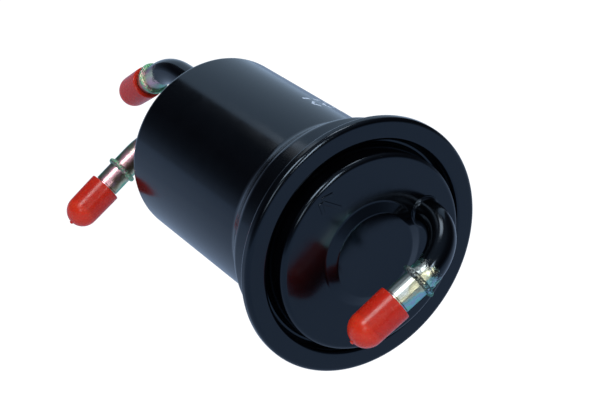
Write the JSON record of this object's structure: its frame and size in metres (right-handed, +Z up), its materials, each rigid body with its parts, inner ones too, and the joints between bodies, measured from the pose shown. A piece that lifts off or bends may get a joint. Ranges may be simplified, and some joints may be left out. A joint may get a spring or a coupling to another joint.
{
  "type": "fuel filter",
  "caption": "Inline engine fuel filter: glossy black stepped can with a rolled seam and domed cover, bent plated hose pipes with beads, and red push-on dust caps.",
  "frame": {"origin": "on the can's axis, halfway along the straight wall where the bracket's band grips", "axes": "+X along the can's axis, out of the domed cover; +Z up in the pose of the picture; Y completes a right-handed frame"},
  "size_m": [0.1571, 0.0792, 0.075],
  "materials": {
    "black_paint": "gloss black enamel",
    "zinc_plate": "yellow-passivated zinc plating on steel tube",
    "red_vinyl": "soft glossy translucent vinyl",
    "filter_paper": "resin-treated pleated paper",
    "tinplate": "bright pressed tinplate",
    "potting": "cured plastisol",
    "seal_rubber": "matt nitrile rubber",
    "sealing_compound": "set seam compound",
    "spring_steel": "drawn spring wire"
  },
  "bodies": {
    "filter": {"can": "black_paint", "end_cover": "black_paint", "seam_compound": "sealing_compound", "inlet_pipe": "zinc_plate", "outlet_pipe": "zinc_plate", "return_pipe": "zinc_plate", "inlet_braze": "black_paint", "outlet_braze": "black_paint", "return_braze": "black_paint", "pleated_paper": "filter_paper", "paper_clip": "tinplate", "centre_tube": "tinplate", "outlet_potting": "potting", "inlet_potting": "potting", "outlet_end_plate": "tinplate", "inlet_end_plate": "tinplate", "element_seal": "seal_rubber", "collector_plate": "tinplate", "spring_seat": "tinplate", "element_spring": "spring_steel"},
    "inlet_dust_cap": {"inlet_cap": "red_vinyl"},
    "outlet_dust_cap": {"outlet_cap": "red_vinyl"},
    "return_dust_cap": {"return_cap": "red_vinyl"}
  },
  "joints": [
    {"name": "inlet_cap_pull", "type": "slide", "parent": "filter", "child": "inlet_dust_cap", "axis": [-0.0732, -0.8258, -0.5591], "range_m": [0, 0.03]},
    {"name": "outlet_cap_pull", "type": "slide", "parent": "filter", "child": "outlet_dust_cap", "axis": [0.0209, -0.8099, -0.5862], "range_m": [0, 0.03]},
    {"name": "return_cap_pull", "type": "slide", "parent": "filter", "child": "return_dust_cap", "axis": [-0.832, -0.0705, -0.5503], "range_m": [0, 0.03]}
  ]
}
